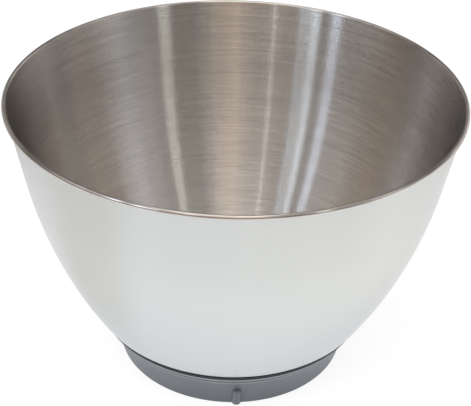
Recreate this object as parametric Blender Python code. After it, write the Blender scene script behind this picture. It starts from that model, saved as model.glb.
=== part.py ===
"""Stand mixer bowl: a pressed steel bowl with a rolled rim, on a moulded foot with a seal ring between them.

Metres, +Z up. The origin is the centre of the foot's underside, where the bowl's axis meets the bench.
Every profile is a list of (radius, height) points, and an angle of a surface is its tilt from the vertical.
"""

import math

import bmesh
import bpy
from mathutils import Matrix, Vector

MM = 0.001

# Pressed steel bowl, sizes of its outer surface
RIM_RADIUS = 120.0 * MM
RIM_HEIGHT = 155.7 * MM
ROLL_RADIUS = 1.2 * MM
SHEET = 0.6 * MM
FLARE_LENGTH = 37.3 * MM
BELLY_RADIUS = 257.0 * MM
CORNER_RADIUS = 10.4 * MM
BASE_RADIUS = 68.7 * MM
BASE_HEIGHT = 25.8 * MM

# Seal ring, a low wedge between the bowl's corner and the foot
SEAL_HEIGHT = 1.65 * MM
SEAL_LAND = 0.85 * MM
SEAL_DRAFT = math.radians(3.0)
SEAL_EDGE_RADIUS = 0.35 * MM
SEAL_INNER_TILT = math.radians(77.0)

# Moulded foot, whose wall curves out from the bench to a lip that reaches past the bowl's flat base
FOOT_RADIUS = 63.3 * MM
FOOT_CURVE_RADIUS = 83.0 * MM
FOOT_WALL = 2.4 * MM
FOOT_EDGE_RADIUS = 0.8 * MM
LIP_REACH = 5.3 * MM
LIP_PROUD = 0.5 * MM
LIP_HEIGHT = 4.6 * MM
LIP_GROOVE_WIDTH = 0.8 * MM
LIP_GROOVE_DEPTH = 0.35 * MM
LIP_EDGE_RADIUS = 0.4 * MM
FLANGE_THICKNESS = 2.4 * MM
FLANGE_WIDTH = 12.95 * MM

# Ribs that stand on the foot's flange and carry the bowl's base
RIB_COUNT = 12
RIB_THICKNESS = 2.0 * MM
RIB_SETBACK = 4.0 * MM
RIB_RISE = 0.7 * MM
RIB_SHOULDER = 1.0 * MM

# Locking lugs on the foot's outer wall, the first at -Y
LUG_COUNT = 3
LUG_WIDTH = 4.8 * MM
LUG_PROUD = 2.1 * MM
LUG_HEIGHT = 12.6 * MM
LUG_FLOOR_GAP = 0.4 * MM
LUG_CAP_RADIUS = 0.9 * MM

# Clearance where two pieces meet, and the slit that the rim's roll leaves open
SEAT_GAP = 0.3 * MM

BOWL_SEGMENTS = 96
RING_SEGMENTS = 72
BELLY_STEPS = 7
CORNER_STEPS = 4
SEAL_STEPS = 2
WALL_STEPS = 4
ROLL_STEPS = 10
EDGE_STEPS = 3

STEEL = ("brushed_steel", (0.74, 0.74, 0.73), 1.0, 0.30)
SEAL_RUBBER = ("seal_rubber", (0.035, 0.040, 0.045), 0.0, 0.55)
FOOT_PLASTIC = ("foot_plastic", (0.16, 0.175, 0.195), 0.0, 0.42)


def clear_scene():
    for item in list(bpy.data.objects):
        bpy.data.objects.remove(item, do_unlink=True)


def material(name, colour, metallic, roughness):
    """A Principled material in one colour."""
    made = bpy.data.materials.new(name)
    made.use_nodes = True
    made.diffuse_color = (*colour, 1.0)
    shader = made.node_tree.nodes["Principled BSDF"]
    shader.inputs["Base Color"].default_value = (*colour, 1.0)
    shader.inputs["Metallic"].default_value = metallic
    shader.inputs["Roughness"].default_value = roughness
    return made


def outward(tilt):
    """The outward normal, in radius and height, of a surface that leans in below by this tilt."""
    return Vector((math.cos(tilt), -math.sin(tilt)))


def arc(centre, radius, start, end, steps):
    """Points round a centre, between two directions given as tilts of the outward normal."""
    tilts = [start + (end - start) * step / steps for step in range(steps + 1)]
    return [centre + radius * outward(tilt) for tilt in tilts]


def turned(mesh, profile, segments, closed):
    """Turns a profile about Z in the bmesh, joined at its seam and on the axis."""
    points = [mesh.verts.new((radius, 0.0, height)) for radius, height in profile]
    pairs = list(zip(points, points[1:]))
    if closed:
        pairs.append((points[-1], points[0]))
    edges = [mesh.edges.new(pair) for pair in pairs]
    bmesh.ops.spin(
        mesh,
        geom=points + edges,
        cent=(0.0, 0.0, 0.0),
        axis=(0.0, 0.0, 1.0),
        angle=math.tau,
        steps=segments,
        use_duplicate=False,
    )
    bmesh.ops.remove_doubles(mesh, verts=mesh.verts, dist=0.001 * MM)
    bmesh.ops.recalc_face_normals(mesh, faces=mesh.faces)


def finished(mesh, name, finish):
    """The bmesh as a named object in its finish, smooth where it is round."""
    data = bpy.data.meshes.new(name)
    mesh.to_mesh(data)
    mesh.free()
    data.shade_smooth()
    data.set_sharp_from_angle(angle=math.radians(35.0))
    made = bpy.data.objects.new(name, data)
    made.data.materials.append(material(*finish))
    bpy.context.scene.collection.objects.link(made)
    return made


def joined(target, pieces):
    """Unites the pieces with the target into one body."""
    for piece in pieces:
        piece.hide_render = True
        piece.display_type = "WIRE"
        union = target.modifiers.new(piece.name, "BOOLEAN")
        union.operation = "UNION"
        union.solver = "EXACT"
        union.object = piece


# Where the bowl's surfaces have their centres

def roll_centre():
    return Vector((RIM_RADIUS - ROLL_RADIUS, RIM_HEIGHT))


def corner_centre():
    return Vector((BASE_RADIUS, BASE_HEIGHT + CORNER_RADIUS))


def tilt_of(direction):
    return math.atan2(-direction.y, direction.x)


def roll_offset():
    """How far the roll's centre lies outside the belly's arc, where the arc runs on into the straight wall."""
    return BELLY_RADIUS + ROLL_RADIUS - SHEET


def belly_centre():
    """The arc touches the corner's arc from outside and the straight wall under the roll, which fixes its centre."""
    to_corner = BELLY_RADIUS - CORNER_RADIUS
    to_roll = math.hypot(roll_offset(), FLARE_LENGTH)
    span = roll_centre() - corner_centre()
    along = (span.length**2 + to_corner**2 - to_roll**2) / (2.0 * span.length)
    across = math.sqrt(to_corner**2 - along**2)
    unit = span.normalized()
    return corner_centre() + along * unit + across * Vector((-unit.y, unit.x))


def flare_angle():
    """The tilt of the straight wall, on which the belly's arc ends."""
    return tilt_of(roll_centre() - belly_centre()) + math.atan2(FLARE_LENGTH, roll_offset())


def corner_tilt():
    """The tilt at which the belly's arc meets the corner's."""
    return tilt_of(corner_centre() - belly_centre())


def bowl_profile():
    """Out along the base, up the outside, round inside the roll, back over it and down the inside."""
    level = math.radians(90.0)
    roll_start = flare_angle() + math.pi
    roll_end = roll_start + math.tau - math.acos((ROLL_RADIUS - SHEET - SEAT_GAP) / ROLL_RADIUS)
    base_underside = Vector((0.0, BASE_HEIGHT))
    base_inside = Vector((0.0, BASE_HEIGHT + SHEET))
    outside = arc(corner_centre(), CORNER_RADIUS, level, corner_tilt(), CORNER_STEPS)
    outside += arc(belly_centre(), BELLY_RADIUS, corner_tilt(), flare_angle(), BELLY_STEPS)[1:]
    roll_inside = arc(roll_centre(), ROLL_RADIUS - SHEET, roll_start, roll_end, ROLL_STEPS)
    roll_outside = arc(roll_centre(), ROLL_RADIUS, roll_end, roll_start, ROLL_STEPS)
    inside = arc(belly_centre(), BELLY_RADIUS - SHEET, flare_angle(), corner_tilt(), BELLY_STEPS)
    inside += arc(corner_centre(), CORNER_RADIUS - SHEET, corner_tilt(), level, CORNER_STEPS)[1:]
    return [base_underside, *outside, *roll_inside, *roll_outside, *inside, base_inside]


def bowl_shell():
    """One pressed sheet, with its edge rolled outwards into a bead that stays open along a slit."""
    mesh = bmesh.new()
    turned(mesh, bowl_profile(), BOWL_SEGMENTS, closed=False)
    return finished(mesh, "bowl_shell", STEEL)


# Heights at which the pieces seat

def rib_top():
    return BASE_HEIGHT - SEAT_GAP


def lip_top():
    return rib_top() - RIB_RISE


def seal_hug(land_height):
    """Up round the bowl's corner, and on up its belly where the corner ends below the land."""
    hug_radius = CORNER_RADIUS + SEAT_GAP
    land_tilt = math.asin((corner_centre().y - land_height) / hug_radius)
    hug = arc(corner_centre(), hug_radius, SEAL_INNER_TILT, max(land_tilt, corner_tilt()), SEAL_STEPS)
    if land_tilt < corner_tilt():
        belly_tilt = math.asin((belly_centre().y - land_height) / (BELLY_RADIUS + SEAT_GAP))
        hug.append(belly_centre() + (BELLY_RADIUS + SEAT_GAP) * outward(belly_tilt))
    return hug


def seal_profile():
    """Up the side that hugs the bowl, across the land, down the outside and in along the underside."""
    level = math.radians(90.0)
    underside = lip_top() + SEAT_GAP
    hug = seal_hug(underside + SEAL_HEIGHT)
    land_inner = hug[-1]
    land_outer = land_inner + Vector((SEAL_LAND, 0.0))
    # The rounded lower edge is tangent to the sloped outside and to the underside.
    edge_height = underside + SEAL_EDGE_RADIUS
    side_radius = land_outer.x - (land_outer.y - edge_height) * math.tan(SEAL_DRAFT)
    edge_centre = Vector((side_radius - SEAL_EDGE_RADIUS / math.cos(SEAL_DRAFT), edge_height))
    edge = arc(edge_centre, SEAL_EDGE_RADIUS, SEAL_DRAFT, level, EDGE_STEPS)
    heel = Vector((hug[0].x, underside))
    return [*hug, land_outer, *edge, heel]


def seal_ring():
    """A soft ring wedged between the bowl's corner and the foot's lip."""
    mesh = bmesh.new()
    turned(mesh, seal_profile(), RING_SEGMENTS, closed=True)
    return finished(mesh, "seal_ring", SEAL_RUBBER)


def lip_radius():
    return BASE_RADIUS + LIP_REACH


def lip_foot():
    return lip_top() - LIP_HEIGHT


def foot_curve_centre():
    """The wall's hollow curve runs from the foot's edge on the bench to just behind the lip's top."""
    foot = Vector((FOOT_RADIUS, 0.0))
    top = Vector((lip_radius() - LIP_PROUD, lip_top()))
    chord = top - foot
    across = math.sqrt(FOOT_CURVE_RADIUS**2 - (chord.length / 2.0) ** 2)
    unit = chord.normalized()
    return (foot + top) / 2.0 + across * Vector((unit.y, -unit.x))


def foot_wall_radius(height, depth=0.0):
    """The radius of the foot's wall at a height, on its outer face or at a depth inside it."""
    centre = foot_curve_centre()
    return centre.x - math.sqrt((FOOT_CURVE_RADIUS + depth) ** 2 - (height - centre.y) ** 2)


def foot_wall_tilt(height, depth=0.0):
    """The tilt of the foot's wall at a height, on its outer face or at a depth inside it."""
    return math.asin((height - foot_curve_centre().y) / (FOOT_CURVE_RADIUS + depth))


def edge_round(height, proud, radius, start, end):
    """A rounded edge centred at this height that touches the wall's curve, or the lip's face where it is proud."""
    centre = Vector((foot_wall_radius(height, radius - proud), height))
    touch = foot_wall_tilt(height, radius - proud)
    return arc(centre, radius, touch if start is None else start, touch if end is None else end, EDGE_STEPS)


def flange_hole_radius():
    return FOOT_RADIUS - FLANGE_WIDTH


def foot_profile():
    """Out over the lip, down the hollow wall, in along the flange and up the inside."""
    level = math.radians(90.0)
    centre = foot_curve_centre()
    lip_middle = lip_top() - LIP_HEIGHT / 2.0
    upper_edge = edge_round(lip_top() - LIP_EDGE_RADIUS, LIP_PROUD, LIP_EDGE_RADIUS, -level, None)
    groove = [
        Vector((foot_wall_radius(lip_middle + offset, depth - LIP_PROUD), lip_middle + offset))
        for offset, depth in (
            (LIP_GROOVE_WIDTH / 2.0, 0.0),
            (0.0, LIP_GROOVE_DEPTH),
            (-LIP_GROOVE_WIDTH / 2.0, 0.0),
        )
    ]
    lower_edge = edge_round(lip_foot() + LIP_EDGE_RADIUS, LIP_PROUD, LIP_EDGE_RADIUS, None, level)
    floor_edge = edge_round(FOOT_EDGE_RADIUS, 0.0, FOOT_EDGE_RADIUS, None, level)
    wall_foot_tilt = foot_wall_tilt(FOOT_EDGE_RADIUS, FOOT_EDGE_RADIUS)
    outside = arc(centre, -FOOT_CURVE_RADIUS, foot_wall_tilt(lip_foot()), wall_foot_tilt, WALL_STEPS)[:-1]
    half = FLANGE_THICKNESS / 2.0
    hole_edge = arc(Vector((flange_hole_radius() + half, half)), half, level, 3.0 * level, 2 * EDGE_STEPS)
    inside_start = foot_wall_tilt(FLANGE_THICKNESS, FOOT_WALL)
    inside_end = foot_wall_tilt(lip_top(), FOOT_WALL)
    inside = arc(centre, -FOOT_CURVE_RADIUS - FOOT_WALL, inside_start, inside_end, WALL_STEPS // 2)
    return [*upper_edge, *groove, *lower_edge, *outside, *floor_edge, *hole_edge, *inside]


def extruded(mesh, outline, offset):
    """A prism from an outline of points, pushed along the offset."""
    start = mesh.faces.new([mesh.verts.new(point) for point in outline])
    grown = bmesh.ops.extrude_face_region(mesh, geom=[start], use_keep_orig=True)
    moved = [item for item in grown["geom"] if isinstance(item, bmesh.types.BMVert)]
    bmesh.ops.translate(mesh, verts=moved, vec=offset)
    bmesh.ops.recalc_face_normals(mesh, faces=mesh.faces)
    return moved


def rib(index):
    """An upright web from the middle of the foot's wall in over its flange, with a shoulder that clears the seal."""
    mesh = bmesh.new()
    flange_middle = FLANGE_THICKNESS / 2.0
    inner_end = flange_hole_radius() + RIB_SETBACK
    rise = lip_top() - RIB_SHOULDER - flange_middle
    heights = [flange_middle + rise * step / WALL_STEPS for step in range(WALL_STEPS + 1)]
    side = [
        (inner_end, flange_middle),
        *((foot_wall_radius(height, FOOT_WALL / 2.0), height) for height in heights),
        (BASE_RADIUS, rib_top()),
        (inner_end, rib_top()),
    ]
    outline = [Vector((radius, -RIB_THICKNESS / 2.0, height)) for radius, height in side]
    extruded(mesh, outline, Vector((0.0, RIB_THICKNESS, 0.0)))
    turn = math.tau * (index + 0.5) / RIB_COUNT - math.radians(90.0)
    mesh.transform(Matrix.Rotation(turn, 4, "Z"))
    return finished(mesh, f"rib_{index + 1}", FOOT_PLASTIC)


def lug(index):
    """An upright half-round stud that follows the slope of the foot's wall, with a rounded cap."""
    mesh = bmesh.new()
    half = LUG_WIDTH / 2.0
    wall = foot_wall_radius(LUG_FLOOR_GAP)
    front = wall + LUG_PROUD - half
    steps = 3 * EDGE_STEPS
    swing = [math.radians(180.0 * step / steps - 90.0) for step in range(steps + 1)]
    outline = [Vector((front + half * math.cos(turn), half * math.sin(turn), LUG_FLOOR_GAP)) for turn in swing]
    back = foot_wall_radius(LUG_FLOOR_GAP, FOOT_WALL / 2.0)
    lean = foot_wall_radius(LUG_HEIGHT) - wall
    outline += [Vector((back, half, LUG_FLOOR_GAP)), Vector((back, -half, LUG_FLOOR_GAP))]
    height = LUG_HEIGHT - LUG_FLOOR_GAP
    top = extruded(mesh, outline, Vector((lean, 0.0, height)))
    cap = [
        edge
        for edge in mesh.edges
        if all(end in top for end in edge.verts)
        and not all(abs(end.co.x - back - lean) < 0.01 * MM for end in edge.verts)
    ]
    bmesh.ops.bevel(
        mesh, geom=cap, offset=LUG_CAP_RADIUS, segments=EDGE_STEPS, profile=0.5, affect="EDGES", clamp_overlap=True
    )
    turn = math.tau * index / LUG_COUNT - math.radians(90.0)
    mesh.transform(Matrix.Rotation(turn, 4, "Z"))
    return finished(mesh, f"lug_{index + 1}", FOOT_PLASTIC)


def foot_ring():
    """The moulded foot: a grooved lip, a hollow wall that narrows to the bench, a flange, ribs and lugs."""
    mesh = bmesh.new()
    turned(mesh, foot_profile(), RING_SEGMENTS, closed=True)
    foot = finished(mesh, "foot_ring", FOOT_PLASTIC)
    ribs = [rib(index) for index in range(RIB_COUNT)]
    lugs = [lug(index) for index in range(LUG_COUNT)]
    joined(foot, ribs + lugs)
    return foot


def main():
    clear_scene()
    bowl_shell()
    seal_ring()
    foot_ring()


main()
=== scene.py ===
"""Looks of the stand mixer bowl: brushed steel bowl, dark seal ring and moulded foot, in studio light.

Every size is in metres, in the frame's axes: +Z up the bowl's axis, the bench at z = 0, a lug at -Y.
Profiles are lists of (radius, height) points. A turned surface's angle is its tilt from the vertical.
"""

from __future__ import annotations

import logging
import math
from dataclasses import dataclass
from enum import Enum, auto
from typing import Sequence, Union

import bmesh
import bpy
from mathutils import Matrix, Vector

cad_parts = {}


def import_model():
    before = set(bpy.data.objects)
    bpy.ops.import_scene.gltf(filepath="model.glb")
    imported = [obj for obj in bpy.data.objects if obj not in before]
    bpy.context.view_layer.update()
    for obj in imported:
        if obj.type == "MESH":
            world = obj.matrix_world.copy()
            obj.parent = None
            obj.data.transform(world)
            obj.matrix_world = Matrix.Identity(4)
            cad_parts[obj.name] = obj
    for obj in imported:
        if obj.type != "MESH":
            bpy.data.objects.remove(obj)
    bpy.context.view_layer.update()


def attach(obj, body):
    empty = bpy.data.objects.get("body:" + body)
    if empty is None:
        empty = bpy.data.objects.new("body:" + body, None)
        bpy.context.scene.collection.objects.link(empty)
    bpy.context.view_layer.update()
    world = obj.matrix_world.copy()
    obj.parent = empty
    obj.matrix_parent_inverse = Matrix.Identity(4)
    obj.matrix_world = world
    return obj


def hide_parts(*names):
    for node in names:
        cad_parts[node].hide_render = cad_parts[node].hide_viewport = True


log = logging.getLogger("mixer_bowl")

MM = 0.001
MERGE_DISTANCE = 0.001 * MM
SAME_SPOT = 0.01 * MM
SHARP_ANGLE = math.radians(32.0)

# As a tilt, a quarter turn is a level surface that faces down.
QUARTER = math.radians(90.0)

# What a noise reads on average.
MIDDLE = 0.5

Mesh = bmesh.types.BMesh
Body = bpy.types.Object
Material = bpy.types.Material
Node = bpy.types.Node
Socket = bpy.types.NodeSocket
Colour = tuple[float, float, float]
Tint = Union[Colour, Socket]
Profile = list[Vector]


class Face(Enum):
    """Which side of the pressed sheet a face is on, as the number of its material slot."""

    OUTSIDE = 0
    INSIDE = 1
    BEAD = 2


class Reading:
    """One number that a shader works out, on which Python's arithmetic adds Math nodes."""

    def __init__(self, graph: Graph, socket: Socket) -> None:
        """Wraps an output socket of a graph."""
        self.graph = graph
        self.socket = socket

    def _math(self, operation: str, *operands: Operand) -> Reading:
        """Adds one Math node.

        Args:
            operation: The node's operation.
            operands: Its inputs in order, numbers or readings.

        Returns:
            The node's result.
        """
        inputs = dict(enumerate(operands))
        made = self.graph.node("ShaderNodeMath", {"operation": operation}, inputs)
        return Reading(self.graph, made.outputs[0])

    def __add__(self, other: Operand) -> Reading:
        """self + other."""
        return self._math("ADD", self, other)

    def __radd__(self, other: Operand) -> Reading:
        """other + self."""
        return self._math("ADD", other, self)

    def __sub__(self, other: Operand) -> Reading:
        """self - other."""
        return self._math("SUBTRACT", self, other)

    def __rsub__(self, other: Operand) -> Reading:
        """other - self."""
        return self._math("SUBTRACT", other, self)

    def __mul__(self, other: Operand) -> Reading:
        """self * other."""
        return self._math("MULTIPLY", self, other)

    def __rmul__(self, other: Operand) -> Reading:
        """other * self."""
        return self._math("MULTIPLY", other, self)

    def __truediv__(self, other: Operand) -> Reading:
        """self / other."""
        return self._math("DIVIDE", self, other)

    def __rtruediv__(self, other: Operand) -> Reading:
        """other / self."""
        return self._math("DIVIDE", other, self)

    def maximum(self, other: Operand) -> Reading:
        """The greater of the two."""
        return self._math("MAXIMUM", self, other)

    def root(self) -> Reading:
        """The square root."""
        return self._math("SQRT", self)

    def bearing(self, other: Operand) -> Reading:
        """The angle in degrees whose tangent is self over other."""
        return self._math("ARCTAN2", self, other) * math.degrees(1.0)

    def between(self, low: float, high: float) -> Reading:
        """How far the reading has come from one value to another.

        Args:
            low: The reading that gives 0.
            high: The reading that gives 1.

        Returns:
            A reading from 0 to 1 with soft ends.
        """
        made = self.graph.node(
            "ShaderNodeMapRange",
            {"interpolation_type": "SMOOTHSTEP", "clamp": True},
            {"Value": self, "From Min": low, "From Max": high},
        )
        return Reading(self.graph, made.outputs[0])

    def past(self, limit: float, soft: float) -> Reading:
        """0 below a limit and 1 above it, with a soft step of this half width."""
        return self.between(limit - soft, limit + soft)


Operand = Union[float, Reading]


class Graph:
    """The nodes of one material or world."""

    def __init__(self, tree: bpy.types.NodeTree) -> None:
        """Empties the tree to build in."""
        self.tree = tree
        tree.nodes.clear()

    def node(
        self,
        kind: str,
        settings: dict[str, object] | None = None,
        sockets: dict[str | int, object] | None = None,
    ) -> Node:
        """Adds a node.

        Args:
            kind: The node's type.
            settings: Its properties, set before its sockets.
            sockets: Values or links for its inputs, by name or number.

        Returns:
            The node.
        """
        made = self.tree.nodes.new(kind)
        for name, setting in (settings or {}).items():
            setattr(made, name, setting)
        for key, content in (sockets or {}).items():
            self._feed(made.inputs[key], content)
        return made

    def _feed(self, socket: Socket, content: object) -> None:
        """Links or sets one input.

        Args:
            socket: The input.
            content: A reading or an output to link, or a number or a colour to set.
        """
        if isinstance(content, Reading):
            self.tree.links.new(content.socket, socket)
        elif isinstance(content, Socket):
            self.tree.links.new(content, socket)
        elif socket.type == "RGBA":
            socket.default_value = (*content, 1.0)
        else:
            socket.default_value = content

    def reading(self, socket: Socket) -> Reading:
        """The output as a reading."""
        return Reading(self, socket)

    def place(self) -> Socket:
        """Where the shaded point is, in its object's own axes."""
        return self.node("ShaderNodeTexCoord").outputs["Object"]

    def parts(self, vector: Socket) -> list[Reading]:
        """A vector's X, Y and Z."""
        made = self.node("ShaderNodeSeparateXYZ", None, {"Vector": vector})
        return [self.reading(made.outputs[axis]) for axis in "XYZ"]

    def joined(self, across: Operand, along: Operand, height: Operand) -> Socket:
        """The vector of an X, a Y and a Z."""
        made = self.node("ShaderNodeCombineXYZ", None, {"X": across, "Y": along, "Z": height})
        return made.outputs["Vector"]

    def vector(self, operation: str, *operands: object) -> Socket:
        """The result of one Vector Math node, with its inputs in order."""
        made = self.node("ShaderNodeVectorMath", {"operation": operation}, dict(enumerate(operands)))
        return made.outputs["Vector"]

    def scaled(self, vector: Tint, factor: Operand) -> Socket:
        """A vector or a colour times a number."""
        made = self.node("ShaderNodeVectorMath", {"operation": "SCALE"}, {0: vector, "Scale": factor})
        return made.outputs["Vector"]

    def blend(self, factor: Operand, first: Tint, second: Tint, label: str = "") -> Socket:
        """A mix of two colours.

        Args:
            factor: 0 for the first, 1 for the second.
            first: A colour or a socket.
            second: A colour or a socket.
            label: What the node is called in the tree.

        Returns:
            The mixed colour.
        """
        # A Mix node's colours are its inputs 6 and 7 and its output 2.
        settings = {"data_type": "RGBA", "label": label}
        made = self.node("ShaderNodeMix", settings, {0: factor, 6: first, 7: second})
        return made.outputs[2]

    def noise(self, vector: Socket, scale: float, detail: float = 3.0, rough: float = 0.5) -> Reading:
        """A cloud noise.

        Args:
            vector: Where it is read.
            scale: Clouds per unit of the vector.
            detail: Its octaves.
            rough: How strong the fine octaves are.

        Returns:
            A reading round MIDDLE.
        """
        made = self.node(
            "ShaderNodeTexNoise",
            {"noise_dimensions": "3D"},
            {"Vector": vector, "Scale": scale, "Detail": detail, "Roughness": rough},
        )
        return self.reading(made.outputs[0])

    def bump(self, height: Reading, depth: float, normal: Socket | None = None) -> Socket:
        """A normal that follows a relief.

        Args:
            height: The relief, from 0 to 1.
            depth: How far a relief of 1 stands out.
            normal: The normal that it starts from, or None for the surface's own.

        Returns:
            The changed normal.
        """
        inputs = {"Strength": 1.0, "Distance": depth, "Height": height}
        if normal is not None:
            inputs["Normal"] = normal
        return self.node("ShaderNodeBump", None, inputs).outputs[0]

    def either(self, factor: Operand, first: Node, second: Node) -> Node:
        """A Mix Shader, with a factor of 0 for the first shader and 1 for the second."""
        sockets = {0: factor, 1: first.outputs[0], 2: second.outputs[0]}
        return self.node("ShaderNodeMixShader", None, sockets)

    def finish(self, shader: Node, output: str = "ShaderNodeOutputMaterial") -> None:
        """Links a shader to the tree's output node."""
        self.node(output, None, {"Surface": shader.outputs[0]})


def new_graph(name: str) -> tuple[Material, Graph]:
    """A material with an empty graph.

    Args:
        name: The material's name.

    Returns:
        The material and its graph.
    """
    made = bpy.data.materials.new(name)
    made.use_nodes = True
    return made, Graph(made.node_tree)


@dataclass(frozen=True)
class Streaks:
    """A noise that runs in lines round the bowl's axis.

    pitch is the distance between two lines and turns is how fast a line changes round the bowl.
    shift keeps one noise apart from another. octaves and rough are the noise's own.
    """

    pitch: float
    turns: float
    shift: float
    octaves: float
    rough: float

    def read(self, graph: Graph, sine: Reading, cosine: Reading, travel: Reading) -> Reading:
        """Reads the noise.

        Args:
            graph: The graph to work in.
            sine: The point's X over its radius.
            cosine: The point's Y over its radius.
            travel: How far the point is up and out.

        Returns:
            A reading round MIDDLE.
        """
        across = sine * self.turns + self.shift
        where = graph.joined(across, cosine * self.turns, travel * (1.0 / self.pitch))
        return graph.noise(where, 1.0, self.octaves, self.rough)


@dataclass(frozen=True)
class BrushedSteel:
    """Stainless steel brushed round the bowl's axis, so that reflections run up and down the wall.

    hair_tilt and line_tilt lean the normal up and down the wall, and waver leans it round the axis.
    tone_span is how far the grain's reading lies from its middle at full tone, and band_share is how
    much of the grain is broad bands.
    """

    name: str
    colour: Colour
    worn_colour: Colour
    roughness: float
    hair_tilt: float
    line_tilt: float
    waver: float
    band_share: float
    tone_span: float = 0.16
    roughness_change: float = 0.03
    stretch: float = 1.0
    stretch_turn: float = 0.25
    relief: float = 0.004 * MM
    least_radius_squared: float = 1e-10
    hairs: Streaks = Streaks(0.03 * MM, 240.0, 31.0, 0.0, 0.5)
    lines: Streaks = Streaks(1.0 * MM, 2.2, 0.0, 3.0, 0.7)
    sways: Streaks = Streaks(1.0 * MM, 2.2, 19.0, 2.0, 0.7)
    bands: Streaks = Streaks(6.0 * MM, 1.32, 7.0, 3.0, 0.55)

    def build(self) -> Material:
        """Makes the material.

        Returns:
            The material.
        """
        material, graph = new_graph(self.name)
        across, along, height = graph.parts(graph.place())
        radius = (across * across + along * along).maximum(self.least_radius_squared).root()
        sine, cosine = across / radius, along / radius
        travel = height + radius
        hair, fine, sway, broad = (
            streaks.read(graph, sine, cosine, travel)
            for streaks in (self.hairs, self.lines, self.sways, self.bands)
        )
        grain = (1.0 - self.band_share) * fine + self.band_share * broad
        tone = grain.past(MIDDLE, self.tone_span)
        round_axis = graph.joined(cosine, 0.0 - sine, 0.0)
        normal = graph.node("ShaderNodeNewGeometry").outputs["Normal"]
        up_wall = graph.vector("CROSS_PRODUCT", normal, round_axis)
        tilt = (hair - MIDDLE) * self.hair_tilt + (fine - MIDDLE) * self.line_tilt
        leaned = graph.vector("ADD", normal, graph.scaled(up_wall, tilt))
        swayed = graph.vector("ADD", leaned, graph.scaled(round_axis, (sway - MIDDLE) * self.waver))
        shader = graph.node(
            "ShaderNodeBsdfPrincipled",
            None,
            {
                "Base Color": graph.blend(tone, self.worn_colour, self.colour),
                "Metallic": 1.0,
                "Roughness": self.roughness + (grain - MIDDLE) * (2.0 * self.roughness_change),
                "Anisotropic": self.stretch,
                "Anisotropic Rotation": self.stretch_turn,
                "Normal": graph.bump(grain, self.relief, graph.vector("NORMALIZE", swayed)),
            },
        )
        graph.finish(shader)
        return material


@dataclass(frozen=True)
class RolledSteel:
    """The bead's steel, which the rolling leaves smoother than the brushed wall."""

    name: str
    colour: Colour
    roughness: float
    dark_share: float = 0.86
    tone_span: float = 0.2
    roughness_change: float = 0.04
    wave_scale: float = 90.0
    fine_scale: float = 1400.0
    fine_share: float = 0.2
    relief: float = 0.004 * MM

    def build(self) -> Material:
        """Makes the material.

        Returns:
            The material.
        """
        material, graph = new_graph(self.name)
        place = graph.place()
        wave = graph.noise(place, self.wave_scale)
        fine = graph.noise(place, self.fine_scale, detail=2.0, rough=0.6)
        darker = tuple(self.dark_share * part for part in self.colour)
        shader = graph.node(
            "ShaderNodeBsdfPrincipled",
            None,
            {
                "Base Color": graph.blend(wave.past(MIDDLE, self.tone_span), darker, self.colour),
                "Metallic": 1.0,
                "Roughness": self.roughness + (fine - MIDDLE) * (2.0 * self.roughness_change),
                "Normal": graph.bump(wave + self.fine_share * fine, self.relief),
            },
        )
        graph.finish(shader)
        return material


@dataclass(frozen=True)
class Moulding:
    """A moulded surface with a fine spark-eroded grain, a little dust in its tone and painted highlights on
    some edges.

    Painted highlights: at each listed edge height, light is painted into the colour, fading up and down over
    the reach;
    the least share is how strong a painted highlight is where the cloud reads least.
    """

    name: str
    colour: Colour
    dusty_colour: Colour
    roughness: float
    painted_highlight_heights: tuple[float, ...] = ()
    highlight_colour: Colour = (0.40, 0.42, 0.45)
    highlight_reach: float = 1.3 * MM
    highlight_least: float = 0.5
    cloud_scale: float = 60.0
    cloud_share: float = 0.6
    tone_start: float = 0.35
    tone_end: float = 0.7
    roughness_change: float = 0.06
    grain_scale: float = 3200.0
    relief: float = 0.015 * MM

    def build(self) -> Material:
        """Makes the material.

        Returns:
            The material.
        """
        material, graph = new_graph(self.name)
        place = graph.place()
        grain = graph.noise(place, self.grain_scale, detail=2.0, rough=0.6)
        cloud = graph.noise(place, self.cloud_scale, detail=4.0, rough=0.6)
        tone = self.cloud_share * cloud + (1.0 - self.cloud_share) * grain
        dusty = tone.between(self.tone_start, self.tone_end)
        colour = graph.blend(dusty, self.colour, self.dusty_colour)
        _, _, height = graph.parts(place)
        # Paints a highlight into the colour at each listed edge height, stronger where the cloud reads high.
        for edge in self.painted_highlight_heights:
            rise = height.between(edge - self.highlight_reach, edge)
            highlight_band = rise - height.between(edge, edge + self.highlight_reach)
            painted_highlight = highlight_band * (self.highlight_least + (1.0 - self.highlight_least) * cloud)
            colour = graph.blend(painted_highlight, colour, self.highlight_colour)
        shader = graph.node(
            "ShaderNodeBsdfPrincipled",
            None,
            {
                "Base Color": colour,
                "Roughness": self.roughness + (cloud - MIDDLE) * (2.0 * self.roughness_change),
                "Normal": graph.bump(grain, self.relief),
            },
        )
        graph.finish(shader)
        return material


def outward(tilt: float) -> Vector:
    """The outward normal, in radius and height, of a surface that leans in below by this tilt."""
    return Vector((math.cos(tilt), -math.sin(tilt)))


def tilt_of(direction: Vector) -> float:
    """The tilt whose outward normal points this way."""
    return math.atan2(-direction.y, direction.x)


def swung(first: Vector, second: Vector, angle: float) -> tuple[Vector, Vector]:
    """Two axes at right angles, swung in their plane so that the first moves towards the second."""
    cosine, sine = math.cos(angle), math.sin(angle)
    return first * cosine + second * sine, second * cosine - first * sine


def arc(centre: Vector, radius: float, start: float, end: float, steps: int) -> Profile:
    """Points round a centre, from one direction to another, both as tilts, in a number of steps."""
    tilts = [start + (end - start) * step / steps for step in range(steps + 1)]
    return [centre + radius * outward(tilt) for tilt in tilts]


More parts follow.
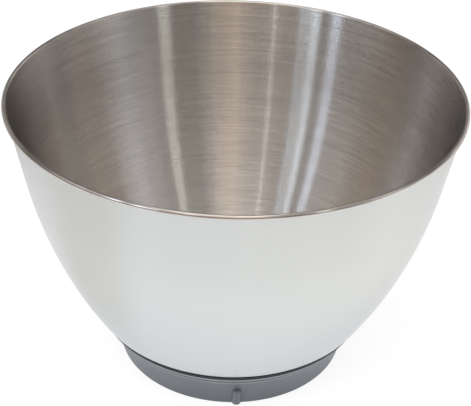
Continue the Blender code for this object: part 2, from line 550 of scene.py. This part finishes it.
def turned(mesh: Mesh, profile: Profile, segments: int, closed: bool) -> None:
    """Turns a profile about the axis.

    Args:
        mesh: The mesh that takes the surface.
        profile: Its points, in the right hand half of the section.
        segments: How many flats go round.
        closed: Whether the last point joins the first.
    """
    points = [mesh.verts.new((radius, 0.0, height)) for radius, height in profile]
    pairs = list(zip(points, points[1:]))
    if closed:
        pairs.append((points[-1], points[0]))
    edges = [mesh.edges.new(pair) for pair in pairs]
    bmesh.ops.spin(
        mesh,
        geom=points + edges,
        cent=(0.0, 0.0, 0.0),
        axis=(0.0, 0.0, 1.0),
        angle=math.tau,
        steps=segments,
        use_duplicate=False,
    )
    bmesh.ops.remove_doubles(mesh, verts=mesh.verts, dist=MERGE_DISTANCE)
    bmesh.ops.recalc_face_normals(mesh, faces=mesh.faces)


def prism(outline: Sequence[Vector], offset: Vector) -> tuple[Mesh, list[bmesh.types.BMVert]]:
    """A prism of an outline.

    Args:
        outline: The points of its first face.
        offset: The way to its last face.

    Returns:
        The mesh and the last face's points.
    """
    mesh = bmesh.new()
    start = mesh.faces.new([mesh.verts.new(point) for point in outline])
    grown = bmesh.ops.extrude_face_region(mesh, geom=[start], use_keep_orig=True)
    moved = [item for item in grown["geom"] if isinstance(item, bmesh.types.BMVert)]
    bmesh.ops.translate(mesh, verts=moved, vec=offset)
    bmesh.ops.recalc_face_normals(mesh, faces=mesh.faces)
    return mesh, moved


def smooth(data: bpy.types.Mesh) -> None:
    """Shades a mesh smooth where it is round."""
    data.shade_smooth()
    data.set_sharp_from_angle(angle=SHARP_ANGLE)


def piece_from(mesh: Mesh, name: str, materials: Sequence[Material]) -> Body:
    """Makes an object of a mesh, smooth where it is round.

    Args:
        mesh: The mesh, which is freed.
        name: The object's name.
        materials: Its materials, in slot order.

    Returns:
        The object.
    """
    data = bpy.data.meshes.new(name)
    mesh.to_mesh(data)
    mesh.free()
    smooth(data)
    for material in materials:
        data.materials.append(material)
    made = bpy.data.objects.new(name, data)
    bpy.context.scene.collection.objects.link(made)
    return made


def unite(target: Body, tool: Body) -> None:
    """Joins one body into another and removes it.

    Args:
        target: The object that grows.
        tool: The object that is joined and removed.
    """
    union = target.modifiers.new("join", "BOOLEAN")
    union.operation = "UNION"
    union.solver = "EXACT"
    union.object = tool
    depsgraph = bpy.context.evaluated_depsgraph_get()
    grown = bpy.data.meshes.new_from_object(target.evaluated_get(depsgraph), depsgraph=depsgraph)
    target.modifiers.clear()
    old = target.data
    target.data = grown
    bpy.data.meshes.remove(old)
    bpy.data.objects.remove(tool, do_unlink=True)


@dataclass
class BowlShell:
    """The pressed bowl: a base, one long belly arc, a straight flare and an edge rolled out into a bead.

    slit is what is left between the curl's end and the flare, and bead_reach is how far the bead's
    finish goes, as a share of the roll's radius.
    """

    rim_radius: float = 120.0 * MM
    rim_height: float = 155.7 * MM
    roll_radius: float = 1.2 * MM
    sheet: float = 0.6 * MM
    flare_length: float = 37.3 * MM
    belly_radius: float = 257.0 * MM
    corner_radius: float = 10.4 * MM
    base_radius: float = 68.7 * MM
    base_height: float = 25.8 * MM
    slit: float = 0.3 * MM
    bead_reach: float = 1.02
    segments: int = 384
    belly_steps: int = 36
    corner_steps: int = 14
    roll_steps: int = 28

    @property
    def roll_centre(self) -> Vector:
        """The centre of the rolled bead."""
        return Vector((self.rim_radius - self.roll_radius, self.rim_height))

    @property
    def corner_centre(self) -> Vector:
        """The centre of the arc between the base and the belly."""
        return Vector((self.base_radius, self.base_height + self.corner_radius))

    @property
    def roll_offset(self) -> float:
        """How far the roll's centre lies outside the belly's arc, where the arc meets the flare."""
        return self.belly_radius + self.roll_radius - self.sheet

    @property
    def belly_centre(self) -> Vector:
        """The centre of the arc that touches the corner's arc and the flare."""
        to_corner = self.belly_radius - self.corner_radius
        to_roll = math.hypot(self.roll_offset, self.flare_length)
        span = self.roll_centre - self.corner_centre
        along = (span.length**2 + to_corner**2 - to_roll**2) / (2.0 * span.length)
        across = math.sqrt(to_corner**2 - along**2)
        unit = span.normalized()
        return self.corner_centre + along * unit + across * Vector((-unit.y, unit.x))

    @property
    def flare_angle(self) -> float:
        """The tilt of the flare."""
        to_roll = tilt_of(self.roll_centre - self.belly_centre)
        return to_roll + math.atan2(self.flare_length, self.roll_offset)

    @property
    def corner_tilt(self) -> float:
        """The tilt at which the belly meets the corner."""
        return tilt_of(self.corner_centre - self.belly_centre)

    def outside(self) -> Profile:
        """The sheet's outer face.

        Returns:
            Points out along the corner and up the belly.
        """
        corner_tilt = self.corner_tilt
        corner = arc(self.corner_centre, self.corner_radius, QUARTER, corner_tilt, self.corner_steps)
        flare_angle = self.flare_angle
        belly = arc(self.belly_centre, self.belly_radius, corner_tilt, flare_angle, self.belly_steps)
        return corner + belly[1:]

    def inside(self) -> Profile:
        """The sheet's inner face.

        Returns:
            Points down the belly and in along the corner.
        """
        belly_radius, corner_radius = self.belly_radius - self.sheet, self.corner_radius - self.sheet
        corner_tilt = self.corner_tilt
        belly = arc(self.belly_centre, belly_radius, self.flare_angle, corner_tilt, self.belly_steps)
        corner = arc(self.corner_centre, corner_radius, corner_tilt, QUARTER, self.corner_steps)
        return belly + corner[1:]

    def roll(self) -> tuple[Profile, Profile]:
        """The rolled edge, an open curl.

        Returns:
            Points along its inner side and back along its outer side.
        """
        start = self.flare_angle + math.pi
        inner_radius = self.roll_radius - self.sheet
        end = start + math.tau - math.acos((inner_radius - self.slit) / self.roll_radius)
        inner = arc(self.roll_centre, inner_radius, start, end, self.roll_steps)
        return inner, arc(self.roll_centre, self.roll_radius, end, start, self.roll_steps)

    def face_side(self, face: bmesh.types.BMFace) -> Face:
        """Which finish a face takes.

        Args:
            face: A face of the turned mesh.

        Returns:
            The side that it is on.
        """
        middle = face.calc_center_median()
        point = Vector((math.hypot(middle.x, middle.y), middle.z))
        if (point - self.roll_centre).length < self.bead_reach * self.roll_radius:
            return Face.BEAD
        above = Vector((0.0, 0.0, 2.0 * self.rim_height))
        return Face.INSIDE if face.normal.dot(above - middle) > 0.0 else Face.OUTSIDE

    def build(self, finishes: dict[Face, Material]) -> Body:
        """Builds and dresses the bowl.

        Args:
            finishes: A material for each side.

        Returns:
            The piece.
        """
        curl_inner, curl_outer = self.roll()
        profile = [Vector((0.0, self.base_height)), *self.outside(), *curl_inner, *curl_outer]
        profile += [*self.inside(), Vector((0.0, self.base_height + self.sheet))]
        mesh = bmesh.new()
        turned(mesh, profile, self.segments, closed=False)
        for face in mesh.faces:
            face.material_index = self.face_side(face).value
        made = piece_from(mesh, "brushed_bowl", [finishes[side] for side in Face])
        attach(made, "root")
        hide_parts("bowl_shell")
        return made


@dataclass
class SealRing:
    """The dark soft ring, a low wedge between the bowl's corner and the foot's lip.

    underside is the height of its lower face.
    """

    bowl: BowlShell
    underside: float
    height: float = 1.65 * MM
    land: float = 0.85 * MM
    draft: float = math.radians(3.0)
    edge_radius: float = 0.35 * MM
    inner_tilt: float = math.radians(77.0)
    clearance: float = 0.3 * MM
    segments: int = 288
    corner_steps: int = 10
    edge_steps: int = 8

    def profile(self) -> Profile:
        """The ring's section.

        Returns:
            Its points, up the side that hugs the bowl and down the outside.
        """
        bowl = self.bowl
        hug_radius = bowl.corner_radius + self.clearance
        land_height = self.underside + self.height
        land_tilt = math.asin((bowl.corner_centre.y - land_height) / hug_radius)
        hug_end = max(land_tilt, bowl.corner_tilt)
        hug = arc(bowl.corner_centre, hug_radius, self.inner_tilt, hug_end, self.corner_steps)
        land_outer = hug[-1] + Vector((self.land, 0.0))
        edge_height = self.underside + self.edge_radius
        side_radius = land_outer.x - (land_outer.y - edge_height) * math.tan(self.draft)
        edge_centre = Vector((side_radius - self.edge_radius / math.cos(self.draft), edge_height))
        edge = arc(edge_centre, self.edge_radius, self.draft, QUARTER, self.edge_steps)
        return [*hug, land_outer, *edge, Vector((hug[0].x, self.underside))]

    def build(self, finish: Material) -> Body:
        """Builds and dresses the ring.

        Args:
            finish: Its material.

        Returns:
            The piece.
        """
        mesh = bmesh.new()
        turned(mesh, self.profile(), self.segments, closed=True)
        made = piece_from(mesh, "seal", [finish])
        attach(made, "root")
        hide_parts("seal_ring")
        return made


@dataclass
class MouldedFoot:
    """The moulded foot under the bowl: a grooved lip, a hollow wall, a flange, ribs and locking lugs."""

    bowl: BowlShell
    radius: float = 63.3 * MM
    curve_radius: float = 83.0 * MM
    wall: float = 2.4 * MM
    edge_radius: float = 0.8 * MM
    lip_reach: float = 5.3 * MM
    lip_proud: float = 0.5 * MM
    lip_height: float = 4.6 * MM
    groove_width: float = 0.8 * MM
    groove_depth: float = 0.35 * MM
    lip_edge_radius: float = 0.4 * MM
    flange_thickness: float = 2.4 * MM
    flange_width: float = 12.95 * MM
    rib_count: int = 12
    rib_steps: int = 4
    rib_thickness: float = 2.0 * MM
    rib_setback: float = 4.0 * MM
    rib_rise: float = 0.7 * MM
    rib_shoulder: float = 1.0 * MM
    lug_count: int = 3
    lug_width: float = 4.8 * MM
    lug_proud: float = 2.1 * MM
    lug_height: float = 12.6 * MM
    lug_floor_gap: float = 0.4 * MM
    lug_cap_radius: float = 0.9 * MM
    clearance: float = 0.3 * MM
    segments: int = 288
    edge_steps: int = 8
    wall_steps: int = 16

    @property
    def rib_top(self) -> float:
        """The height of the ribs, just under the bowl's base."""
        return self.bowl.base_height - self.clearance

    @property
    def lip_top(self) -> float:
        """The height of the lip's upper face."""
        return self.rib_top - self.rib_rise

    @property
    def curve_centre(self) -> Vector:
        """The centre of the wall's hollow curve, from the bench to just behind the lip's top."""
        foot = Vector((self.radius, 0.0))
        top = Vector((self.bowl.base_radius + self.lip_reach - self.lip_proud, self.lip_top))
        chord = top - foot
        across = math.sqrt(self.curve_radius**2 - (chord.length / 2.0) ** 2)
        unit = chord.normalized()
        return (foot + top) / 2.0 + across * Vector((unit.y, -unit.x))

    def wall_radius(self, height: float, depth: float = 0.0) -> float:
        """The radius of the hollow wall at a height, some way inside its outer face."""
        centre = self.curve_centre
        return centre.x - math.sqrt((self.curve_radius + depth) ** 2 - (height - centre.y) ** 2)

    def wall_tilt(self, height: float, depth: float = 0.0) -> float:
        """The tilt of the hollow wall at a height, some way inside its outer face."""
        return math.asin((height - self.curve_centre.y) / (self.curve_radius + depth))

    def profile(self) -> Profile:
        """The foot's section, over the lip, down the hollow wall, in along the flange and up the inside.

        Returns:
            Its points.
        """
        curve = self.curve_centre
        top = self.lip_top
        foot = top - self.lip_height
        middle = top - self.lip_height / 2.0
        edge, proud = self.lip_edge_radius, self.lip_proud

        def rounded(height: float, out: float, radius: float) -> tuple[Vector, float]:
            """A rounded edge's centre, this far out on the wall, and the tilt at which it meets the wall."""
            centre = Vector((self.wall_radius(height, radius - out), height))
            return centre, self.wall_tilt(height, radius - out)

        upper_centre, upper_touch = rounded(top - edge, proud, edge)
        upper = arc(upper_centre, edge, -QUARTER, upper_touch, self.edge_steps)
        groove = [
            Vector((self.wall_radius(middle + offset, depth - proud), middle + offset))
            for offset, depth in (
                (self.groove_width / 2.0, 0.0),
                (0.0, self.groove_depth),
                (-self.groove_width / 2.0, 0.0),
            )
        ]
        lower_centre, lower_touch = rounded(foot + edge, proud, edge)
        lower = arc(lower_centre, edge, lower_touch, QUARTER, self.edge_steps)
        floor_centre, floor_touch = rounded(self.edge_radius, 0.0, self.edge_radius)
        floor_edge = arc(floor_centre, self.edge_radius, floor_touch, QUARTER, self.edge_steps)
        outside_start = self.wall_tilt(foot)
        outside = arc(curve, -self.curve_radius, outside_start, floor_touch, self.wall_steps)[:-1]
        half = self.flange_thickness / 2.0
        hole_centre = Vector((self.radius - self.flange_width + half, half))
        hole_edge = arc(hole_centre, half, QUARTER, 3.0 * QUARTER, 2 * self.edge_steps)
        inside_start = self.wall_tilt(self.flange_thickness, self.wall)
        inside_end = self.wall_tilt(top, self.wall)
        inside = arc(curve, -self.curve_radius - self.wall, inside_start, inside_end, self.wall_steps)
        return [*upper, *groove, *lower, *outside, *floor_edge, *hole_edge, *inside]

    def rib(self, index: int) -> Mesh:
        """One upright web from the wall in over the flange.

        Args:
            index: Its number round the foot.

        Returns:
            Its mesh.
        """
        flange_middle = self.flange_thickness / 2.0
        inner_end = self.radius - self.flange_width + self.rib_setback
        top = self.rib_top
        rise = self.lip_top - self.rib_shoulder - flange_middle
        heights = [flange_middle + rise * step / self.rib_steps for step in range(self.rib_steps + 1)]
        side = [
            (inner_end, flange_middle),
            *((self.wall_radius(height, self.wall / 2.0), height) for height in heights),
            (self.bowl.base_radius, top),
            (inner_end, top),
        ]
        outline = [Vector((radius, -self.rib_thickness / 2.0, height)) for radius, height in side]
        mesh, _ = prism(outline, Vector((0.0, self.rib_thickness, 0.0)))
        turn = math.tau * (index + 0.5) / self.rib_count - QUARTER
        mesh.transform(Matrix.Rotation(turn, 4, "Z"))
        return mesh

    def lug(self, index: int) -> Mesh:
        """One upright half-round stud that follows the slope of the wall.

        Args:
            index: Its number round the foot.

        Returns:
            Its mesh.
        """
        half = self.lug_width / 2.0
        base = self.lug_floor_gap
        wall = self.wall_radius(base)
        front = wall + self.lug_proud - half
        steps = 3 * self.edge_steps
        swing = [math.radians(180.0 * step / steps - 90.0) for step in range(steps + 1)]
        outline = [Vector((front + half * math.cos(turn), half * math.sin(turn), base)) for turn in swing]
        back = self.wall_radius(base, self.wall / 2.0)
        lean = self.wall_radius(self.lug_height) - wall
        outline += [Vector((back, half, base)), Vector((back, -half, base))]
        height = self.lug_height - base
        mesh, top = prism(outline, Vector((lean, 0.0, height)))
        cap = [
            edge
            for edge in mesh.edges
            if all(end in top for end in edge.verts)
            and not all(abs(end.co.x - back - lean) < SAME_SPOT for end in edge.verts)
        ]
        bmesh.ops.bevel(
            mesh,
            geom=cap,
            offset=self.lug_cap_radius,
            segments=self.edge_steps // 2,
            profile=0.5,
            affect="EDGES",
            clamp_overlap=True,
        )
        turn = math.tau * index / self.lug_count - QUARTER
        mesh.transform(Matrix.Rotation(turn, 4, "Z"))
        return mesh

    def build(self, finish: Material) -> Body:
        """Builds and dresses the foot.

        Args:
            finish: Its material.

        Returns:
            The piece.
        """
        ring = bmesh.new()
        turned(ring, self.profile(), self.segments, closed=True)
        made = piece_from(ring, "moulded_foot", [finish])
        added = [self.rib(index) for index in range(self.rib_count)]
        added += [self.lug(index) for index in range(self.lug_count)]
        for number, mesh in enumerate(added):
            tool = piece_from(mesh, f"foot_addition_{number}", [finish])
            unite(made, tool)
        smooth(made.data)
        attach(made, "root")
        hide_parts("foot_ring")
        return made


class Part(Enum):
    """The parts of the studio that hold bands of light."""

    FRONT = auto()
    SIDES = auto()
    ROOF = auto()
    BACK = auto()
    LOW = auto()
    FLOOR = auto()
    FAR_FLOOR = auto()


@dataclass(frozen=True)
class Panel:
    """One band of light in the studio, with soft sides.

    Its angles are in degrees, 0 at -Y and growing towards +X. edge is the width of a soft side.
    """

    name: str
    azimuth: float
    width: float
    edge: float
    colour: Colour
    strength: float

    def mask(self, azimuth: Reading) -> Reading:
        """1 on the band and 0 beside it.

        Args:
            azimuth: The direction that is being lit.

        Returns:
            The mask.
        """
        start, end = self.azimuth - self.width / 2.0, self.azimuth + self.width / 2.0
        soft = self.edge / 2.0
        return azimuth.past(start, soft) - azimuth.past(end, soft)

    def light(self) -> Colour:
        """The band's colour at its strength."""
        return tuple(self.strength * part for part in self.colour)


@dataclass(frozen=True)
class Lamp:
    """One soft square lamp that faces the bowl and that the metal doesn't mirror.

    power is in watts.
    """

    name: str
    place: tuple[float, float, float]
    power: float
    side: float = 1.4

    def hang(self) -> None:
        """Adds the lamp to the scene."""
        place = Vector(self.place)
        data = bpy.data.lights.new(self.name, "AREA")
        data.size = self.side
        data.energy = self.power
        made = bpy.data.objects.new(self.name, data)
        made.location = place
        made.rotation_mode = "QUATERNION"
        made.rotation_quaternion = (-place).to_track_quat("-Z", "Y")
        made.visible_glossy = False
        bpy.context.scene.collection.objects.link(made)


def seen(graph: Graph, path: Node) -> Reading:
    """1 for a ray from the camera, or one that metal or glass sends on.

    Args:
        graph: The graph to work in.
        path: Its Light Path node.

    Returns:
        The reading.
    """
    kinds = ("Is Camera Ray", "Is Glossy Ray", "Is Transmission Ray")
    camera, glossy, through = (graph.reading(path.outputs[kind]) for kind in kinds)
    return camera.maximum(glossy).maximum(through)


@dataclass
class Studio:
    """The camera, the pale floor, the world, the lamps and the tent that the steel mirrors.

    The tent's limits are elevations in degrees, and a name with soft is half the width of a limit's
    edge. behind_start and behind_end are shares of the tent's radius, and tent_line is the share of it
    that the line round which the front bands hang stands behind the bowl.
    """

    bands: dict[Part, Sequence[Panel]]
    lamps: Sequence[Lamp]
    camera_distance: float = 712.8 * MM
    camera_azimuth: float = math.radians(-3.6)
    camera_elevation: float = 0.668845
    camera_yaw: float = 0.0015964
    camera_pitch: float = 0.1047091
    camera_roll: float = 0.0236244
    lens: float = 92.307
    sensor_width: float = 36.0
    sky_strength: float = 0.55
    seen_sky_strength: float = 1.0
    tent_radius: float = 3.0
    tent_steps: int = 24
    tent_colour: Colour = (0.54, 0.523, 0.506)
    tent_line: float = 0.745
    climb_start: float = 2.0
    climb_end: float = 50.0
    low_gain: float = 0.08
    high_gain: float = 1.27
    low_side_gain: float = 2.1
    high_side_gain: float = 0.5
    bands_top: float = 50.0
    bands_soft: float = 12.0
    behind_start: float = 0.65
    behind_end: float = 0.85
    ceiling_colour: Colour = (0.25, 0.235, 0.225)
    backdrop_colour: Colour = (0.20, 0.19, 0.18)
    backdrop_top: float = 18.0
    backdrop_soft: float = 3.0
    back_top: float = 35.0
    low_top: float = 12.0
    low_soft: float = 5.0
    roof_start: float = 60.0
    roof_end: float = 118.0
    roof_soft: float = 6.0
    floor_half: float = 12.0
    paper_colour: Colour = (0.86, 0.86, 0.86)
    pale_paper_colour: Colour = (0.88, 0.88, 0.88)
    paper_scale: float = 40.0
    floor_colour: Colour = (1.04, 1.04, 1.04)
    # Painted shade: to the metal, the floor next to the foot is darker and bluer, standing in for the bowl's
    # shadow there.
    painted_floor_shade_colour: Colour = (0.935, 0.965, 1.015)
    near_floor_end: float = 70.0 * MM
    floor_start: float = 150.0 * MM
    far_floor_colour: Colour = (0.33, 0.305, 0.285)
    floor_end: float = 235.0 * MM
    far_floor_start: float = 330.0 * MM
    seen_floor_colour: Colour = (1.09, 1.09, 1.09)
    floor_glow: float = 1.06
    floor_lift: float = 0.70

    def camera(self) -> None:
        """Adds the camera at the photograph's place."""
        level = Vector((0.0, math.cos(self.camera_elevation), -math.sin(self.camera_elevation)))
        right = Vector((1.0, 0.0, 0.0))
        up = right.cross(level)
        ahead, right = swung(level, right, self.camera_yaw)
        forward, up = swung(ahead, up, self.camera_pitch)
        side, up = swung(right, up, self.camera_roll)
        pose = Matrix((side, up, -forward)).transposed().to_4x4()
        pose.translation = -self.camera_distance * level
        data = bpy.data.cameras.new("photograph")
        data.sensor_width = self.sensor_width
        data.lens = self.lens
        made = bpy.data.objects.new("photograph", data)
        made.matrix_world = Matrix.Rotation(self.camera_azimuth, 4, "Z") @ pose
        bpy.context.scene.collection.objects.link(made)
        bpy.context.scene.camera = made

    def world(self) -> None:
        """Adds a world that lights plainly and shows white to the camera and the metal."""
        world = bpy.data.worlds.new("studio")
        world.use_nodes = True
        bpy.context.scene.world = world
        graph = Graph(world.node_tree)
        path = graph.node("ShaderNodeLightPath")
        plain, bright = (
            graph.node("ShaderNodeBackground", None, {"Color": (1.0, 1.0, 1.0), "Strength": strength})
            for strength in (self.sky_strength, self.seen_sky_strength)
        )
        graph.finish(graph.either(seen(graph, path), plain, bright), "ShaderNodeOutputWorld")

    def lay(
        self,
        part: Part,
        under: Tint,
        azimuth: Reading,
        window: Reading | None = None,
        gain: Reading | None = None,
    ) -> Tint:
        """Lays the bands of one part of the studio over a colour, each over those before it.

        Args:
            part: The part of the studio.
            under: The colour beneath the bands.
            azimuth: The direction that is being lit.
            window: 1 where the bands show, or None for everywhere.
            gain: What the bands' light is multiplied by, or None for their own light.

        Returns:
            The colour with its bands.
        """
        graph = azimuth.graph
        for panel in self.bands[part]:
            mask = panel.mask(azimuth)
            light = panel.light()
            if window is not None:
                mask = window * mask
            if gain is not None:
                light = graph.scaled(light, gain)
            under = graph.blend(mask, under, light, panel.name)
        return under

    def floor(self) -> None:
        """Adds a pale floor that looks white and keeps the bowl's shadow. Only metal sees its bands and its
        painted shade.
        """
        material, graph = new_graph("pale_floor")
        path = graph.node("ShaderNodeLightPath")
        place = graph.place()
        grain = graph.noise(place, self.paper_scale)
        paper = graph.blend(grain, self.paper_colour, self.pale_paper_colour)
        matt = graph.node("ShaderNodeBsdfDiffuse", None, {"Color": paper})
        across, along, _ = graph.parts(place)
        azimuth = across.bearing(0.0 - along)
        around = self.lay(Part.FLOOR, self.floor_colour, azimuth)
        far = self.lay(Part.FAR_FLOOR, self.far_floor_colour, azimuth)
        distance = (across * across + along * along).root()
        leaving = distance.between(self.near_floor_end, self.floor_start)
        # Paints shade into the floor next to the foot, seen only in the metal's reflections.
        mirrored = graph.blend(leaving, self.painted_floor_shade_colour, around)
        mirrored = graph.blend(distance.between(self.floor_end, self.far_floor_start), mirrored, far)
        glossy = graph.reading(path.outputs["Is Glossy Ray"])
        light = graph.blend(glossy, self.seen_floor_colour, mirrored)
        glow = graph.node("ShaderNodeEmission", None, {"Color": light, "Strength": self.floor_glow})
        lifted = graph.either(self.floor_lift, matt, glow)
        graph.finish(graph.either(seen(graph, path), matt, lifted))
        mesh = bmesh.new()
        bmesh.ops.create_grid(mesh, x_segments=1, y_segments=1, size=self.floor_half)
        made = piece_from(mesh, "floor", [material])
        made.rotation_euler = (0.0, 0.0, self.camera_azimuth)

    def tent(self) -> None:
        """Adds a tent of light that only the metal sees."""
        material, graph = new_graph("tent")
        across, along, height = graph.parts(graph.place())
        azimuth = across.bearing(self.tent_line * self.tent_radius - along)
        elevation = height.bearing((across * across + along * along).root())
        climb = elevation.between(self.climb_start, self.climb_end)
        glow = self.lay(Part.FRONT, self.tent_colour, azimuth)
        glow = graph.scaled(glow, self.low_gain + climb * (self.high_gain - self.low_gain))
        fall = self.low_side_gain - climb * (self.low_side_gain - self.high_side_gain)
        glow = self.lay(Part.SIDES, glow, azimuth, gain=fall)
        behind = along.between(self.behind_start * self.tent_radius, self.behind_end * self.tent_radius)
        overhead = elevation.past(self.bands_top, self.bands_soft)
        glow = graph.blend(behind.maximum(overhead), glow, self.ceiling_colour)
        low = 1.0 - elevation.past(self.backdrop_top, self.backdrop_soft)
        glow = graph.blend(low * behind, glow, self.backdrop_colour)
        aback = across.bearing(along)
        for part, top in ((Part.BACK, self.back_top), (Part.LOW, self.low_top)):
            low = 1.0 - elevation.past(top, self.low_soft)
            glow = self.lay(part, glow, aback, window=low)
        slant = across.bearing(height)
        over = height.bearing(0.0 - along)
        roof = over.past(self.roof_start, self.roof_soft) - over.past(self.roof_end, self.roof_soft)
        glow = self.lay(Part.ROOF, glow, slant, window=roof)
        graph.finish(graph.node("ShaderNodeEmission", None, {"Color": glow, "Strength": 1.0}))
        dome = [
            self.tent_radius * Vector((math.cos(angle), math.sin(angle)))
            for angle in (QUARTER * step / self.tent_steps for step in range(self.tent_steps + 1))
        ]
        mesh = bmesh.new()
        turned(mesh, dome, 4 * self.tent_steps, closed=False)
        made = piece_from(mesh, "tent", [material])
        made.rotation_euler = (0.0, 0.0, self.camera_azimuth)
        made.visible_camera = False
        made.visible_diffuse = False
        made.visible_shadow = False

    def build(self) -> None:
        """Sets up the studio."""
        bpy.context.scene.view_settings.view_transform = "Standard"
        self.camera()
        self.world()
        self.floor()
        for lamp in self.lamps:
            lamp.hang()
        self.tent()


STEEL_OUTSIDE = BrushedSteel(
    name="steel_outside",
    colour=(0.727, 0.748, 0.744),
    worn_colour=(0.703, 0.723, 0.719),
    roughness=0.22,
    hair_tilt=0.6,
    line_tilt=0.03,
    waver=0.02,
    band_share=0.06,
)
STEEL_INSIDE = BrushedSteel(
    name="steel_inside",
    colour=(0.742, 0.721, 0.700),
    worn_colour=(0.658, 0.638, 0.619),
    roughness=0.18,
    hair_tilt=1.7,
    line_tilt=0.11,
    waver=0.012,
    band_share=0.08,
)
STEEL_BEAD = RolledSteel("steel_bead", (0.76, 0.72, 0.69), 0.14)
SEAL_RUBBER = Moulding("seal_rubber", (0.014, 0.017, 0.020), (0.022, 0.026, 0.030), 0.5)
FOOT_PLASTIC = Moulding(
    name="foot_plastic",
    colour=(0.118, 0.132, 0.150),
    dusty_colour=(0.142, 0.156, 0.175),
    roughness=0.40,
    # Painted highlights on the lip's upper edge and lower ridge, standing in for the light that these edges
    # catch.
    painted_highlight_heights=(20.15 * MM, 24.2 * MM, 24.7 * MM),
)

LAMPS = (
    Lamp("key_lamp", (-1.1, -0.9, 1.8), 28.0),
    Lamp("fill_lamp", (1.3, -0.6, 1.6), 16.0),
)

BANDS = {
    Part.FRONT: (
        Panel("soft_right", 42.0, 12.0, 6.0, (1.0, 0.98, 0.97), 0.86),
        Panel("gap_right", 26.5, 3.4, 3.0, (1.0, 0.93, 0.88), 0.39),
        Panel("streak_right", 22.6, 3.6, 1.0, (0.97, 0.99, 0.90), 1.7),
        Panel("olive_gap", 16.5, 8.0, 4.0, (1.0, 0.91, 0.79), 0.33),
        Panel("warm_wide", -4.0, 28.0, 6.0, (1.0, 0.85, 0.72), 0.77),
        Panel("warm_front", 2.0, 8.0, 7.0, (1.0, 0.78, 0.61), 1.18),
        Panel("narrow_left", -11.1, 1.0, 0.6, (1.0, 0.96, 0.93), 2.0),
        Panel("warm_side", -70.0, 56.0, 10.0, (1.0, 0.92, 0.84), 0.46),
        Panel("soft_left", -34.0, 30.0, 9.0, (1.0, 0.95, 0.91), 0.79),
        Panel("wide_left", -21.8, 6.4, 1.2, (0.90, 0.95, 1.0), 1.6),
        Panel("bright_left", -23.9, 2.2, 1.0, (0.82, 0.90, 1.0), 3.1),
        Panel("gap_left", -26.9, 2.0, 1.0, (1.0, 0.95, 0.92), 0.47),
        Panel("second_left", -30.7, 3.2, 1.4, (0.77, 0.84, 1.0), 2.9),
    ),
    Part.SIDES: (
        Panel("far_right", 109.0, 110.0, 52.0, (1.0, 0.98, 0.95), 0.09),
        Panel("far_left", -107.0, 94.0, 36.0, (1.0, 0.91, 0.82), 0.10),
    ),
    Part.ROOF: (
        Panel("overhead", -3.5, 27.0, 4.0, (1.0, 0.97, 0.94), 1.3),
        Panel("overhead_right", 21.0, 3.0, 2.0, (1.0, 0.98, 0.96), 1.4),
    ),
    Part.BACK: (
        Panel("back_right", 44.0, 36.0, 10.0, (1.0, 0.93, 0.89), 0.62),
        Panel("back_left", -44.0, 36.0, 10.0, (1.0, 0.92, 0.86), 0.40),
    ),
    Part.LOW: (
        Panel("low_right", 88.0, 62.0, 20.0, (1.0, 0.94, 0.90), 0.72),
    ),
    Part.FLOOR: (
        Panel("bright_right", 60.0, 100.0, 80.0, (1.0, 0.985, 0.96), 1.10),
        Panel("dim_left", -70.0, 40.0, 24.0, (1.0, 0.975, 0.925), 0.89),
    ),
    Part.FAR_FLOOR: (
        Panel("far_floor_right", 100.0, 80.0, 30.0, (1.0, 0.95, 0.92), 0.66),
    ),
}


def main() -> None:
    """Loads the frame and builds the studio and the pieces in order."""
    logging.basicConfig(level=logging.INFO, format="%(name)s: %(message)s")
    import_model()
    Studio(BANDS, LAMPS).build()
    bowl = BowlShell()
    foot = MouldedFoot(bowl)
    seal = SealRing(bowl, foot.lip_top + foot.clearance)
    steels = {
        Face.OUTSIDE: STEEL_OUTSIDE.build(),
        Face.INSIDE: STEEL_INSIDE.build(),
        Face.BEAD: STEEL_BEAD.build(),
    }
    pieces = [
        bowl.build(steels),
        seal.build(SEAL_RUBBER.build()),
        foot.build(FOOT_PLASTIC.build()),
    ]
    for piece in pieces:
        log.info("%s has %d faces", piece.name, len(piece.data.polygons))


if __name__ == "__main__":
    main()
